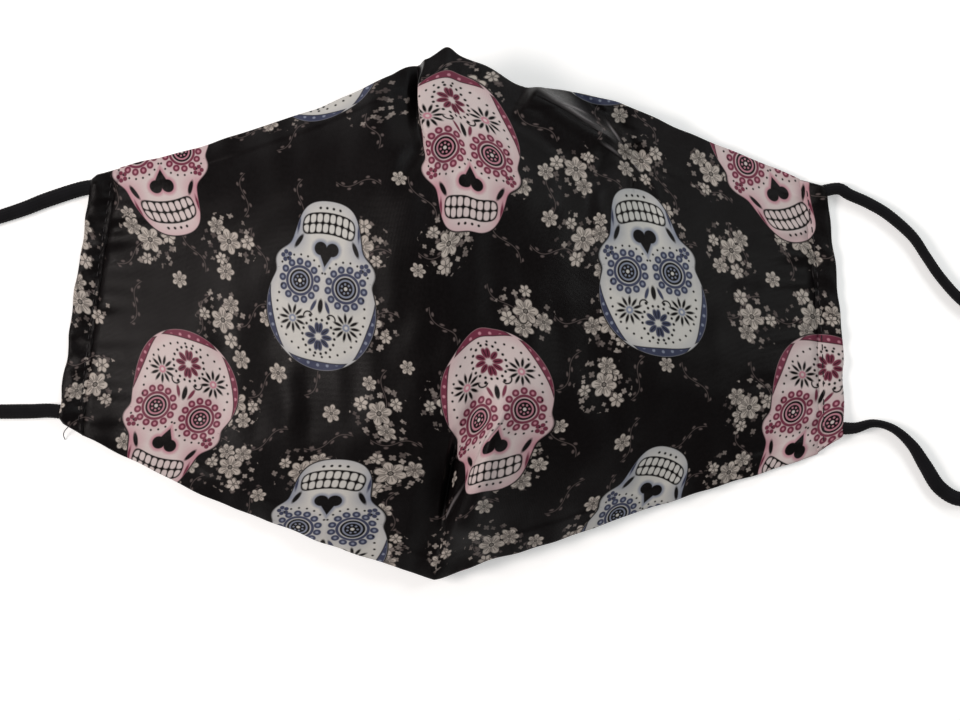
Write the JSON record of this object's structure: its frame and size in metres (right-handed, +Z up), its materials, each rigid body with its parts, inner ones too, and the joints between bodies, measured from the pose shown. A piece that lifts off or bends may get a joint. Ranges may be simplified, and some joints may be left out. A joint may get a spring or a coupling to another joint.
{
  "type": "cloth face mask",
  "caption": "Cloth face mask shaped by a nose dart and a chin dart, with stitched side hems and round elastic ear loops, lying with its outer face up.",
  "frame": {"origin": "on the surface that the mask lies on, below the centre of the box of its panel and hems", "axes": "+X to the hem at the right when the outer face is seen with the nose edge up, +Y to the nose edge, +Z up out of the outer face"},
  "size_m": [0.3606, 0.156, 0.0367],
  "materials": {
    "printed_cloth": "smooth printed satin, black with pale, pink and blue-grey print",
    "elastic_cord": "matt knitted elastic, black"
  },
  "bodies": {
    "root": {"mask_panel": "printed_cloth", "side_hem_left": "printed_cloth", "side_hem_right": "printed_cloth", "ear_loop_left": "elastic_cord", "ear_loop_right": "elastic_cord"}
  },
  "joints": []
}
